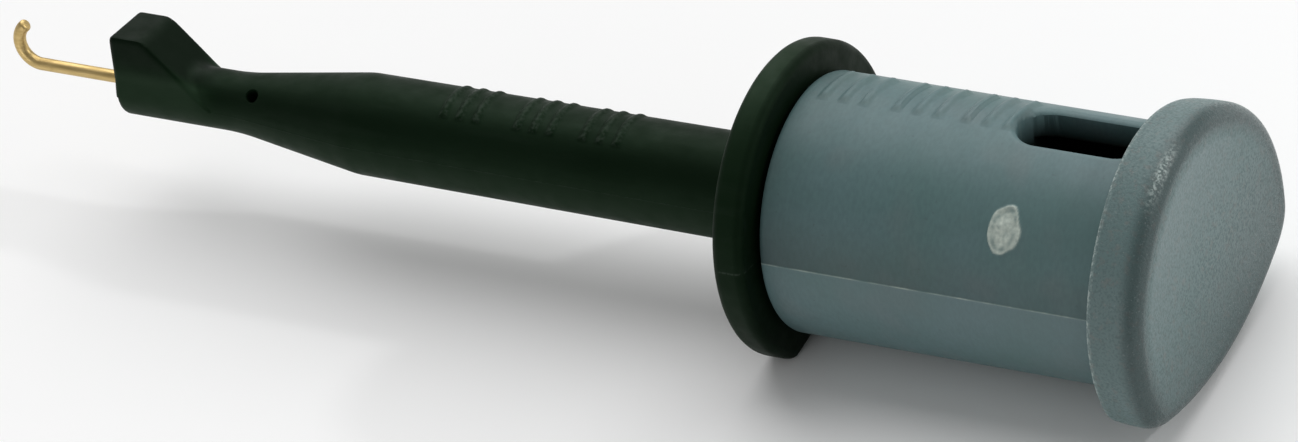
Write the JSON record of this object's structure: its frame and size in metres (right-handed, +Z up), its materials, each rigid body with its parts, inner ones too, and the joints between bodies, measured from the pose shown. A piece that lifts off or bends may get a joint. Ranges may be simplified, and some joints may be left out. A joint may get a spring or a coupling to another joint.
{
  "type": "hook test clip",
  "caption": "Spring-loaded miniature hook test clip: slim black barrel with a boot-shaped nose and finger flange, grey plunger with a thumb head, and a gold wire hook.",
  "frame": {"origin": "on the flat of the finger flange, straight below the clip's axis", "axes": "+X runs from the hook towards the thumb head, +Z is up with the clip lying on the flats of its flange and plunger, +Y completes the right-handed frame"},
  "size_m": [0.0578, 0.0142, 0.0119],
  "materials": {
    "black_nylon": "semi-matte moulded black, slightly green",
    "grey_plastic": "smooth moulded blue-grey with a faint parting line",
    "grained_grey_plastic": "finely grained moulded blue-grey",
    "gold_plate": "thin gold plate over spring wire",
    "brass": "turned brass",
    "stainless": "drawn stainless spring wire and strip"
  },
  "bodies": {
    "barrel": {"barrel": "black_nylon", "return_spring": "stainless"},
    "plunger": {"plunger_tube": "grey_plastic", "thumb_head": "grained_grey_plastic", "hook_wire": "gold_plate", "contact_terminal": "brass", "spring_washer": "stainless"}
  },
  "joints": [
    {"name": "plunger_slide", "type": "slide", "parent": "barrel", "child": "plunger", "axis": [1, 0, 0], "range_m": [-0.0002, 0.0047], "stiffness_N_per_m": 200, "springref_m": 0.0051, "deforming": ["return_spring"]}
  ]
}
